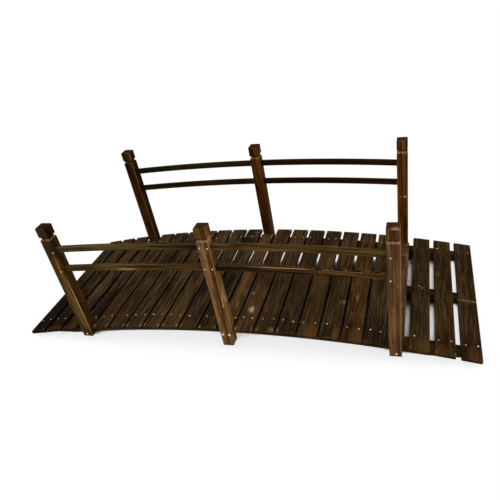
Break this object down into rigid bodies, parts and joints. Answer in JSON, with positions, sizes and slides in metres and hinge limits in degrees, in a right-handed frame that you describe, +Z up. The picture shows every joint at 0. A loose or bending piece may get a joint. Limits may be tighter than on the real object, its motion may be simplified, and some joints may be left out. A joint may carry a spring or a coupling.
{
  "type": "moon bridge",
  "caption": "Low arched timber garden bridge: cross planks on bent bearers, with square grooved posts and curved double rails along both sides.",
  "frame": {"origin": "on the ground, under the middle of the deck", "axes": "+X along the bridge, towards the picture's right end; +Y across it, towards the far railing; +Z up"},
  "size_m": [2.4286, 0.944, 0.7351],
  "materials": {
    "deck_wood": "dark brown stain, matt, worn along the edges",
    "stringer_wood": "dark brown stain, matt",
    "post_wood": "brown stain, matt, pale where the edges have worn",
    "rail_wood": "brown stain, matt"
  },
  "bodies": {
    "root": {"stringer_near": "stringer_wood", "stringer_centre": "stringer_wood", "stringer_far": "stringer_wood", "deck_plank_01": "deck_wood", "deck_plank_02": "deck_wood", "deck_plank_03": "deck_wood", "deck_plank_04": "deck_wood", "deck_plank_05": "deck_wood", "deck_plank_06": "deck_wood", "deck_plank_07": "deck_wood", "deck_plank_08": "deck_wood", "deck_plank_09": "deck_wood", "deck_plank_10": "deck_wood", "deck_plank_11": "deck_wood", "deck_plank_12": "deck_wood", "deck_plank_13": "deck_wood", "deck_plank_14": "deck_wood", "deck_plank_15": "deck_wood", "deck_plank_16": "deck_wood", "deck_plank_17": "deck_wood", "deck_plank_18": "deck_wood", "deck_plank_19": "deck_wood", "deck_plank_20": "deck_wood", "deck_plank_21": "deck_wood", "deck_plank_22": "deck_wood", "deck_plank_23": "deck_wood", "post_near_left": "post_wood", "post_near_middle": "post_wood", "post_near_right": "post_wood", "post_far_left": "post_wood", "post_far_middle": "post_wood", "post_far_right": "post_wood", "rail_top_near_left": "rail_wood", "rail_top_near_right": "rail_wood", "rail_low_near_left": "rail_wood", "rail_low_near_right": "rail_wood", "rail_top_far_left": "rail_wood", "rail_top_far_right": "rail_wood", "rail_low_far_left": "rail_wood", "rail_low_far_right": "rail_wood"}
  },
  "joints": []
}
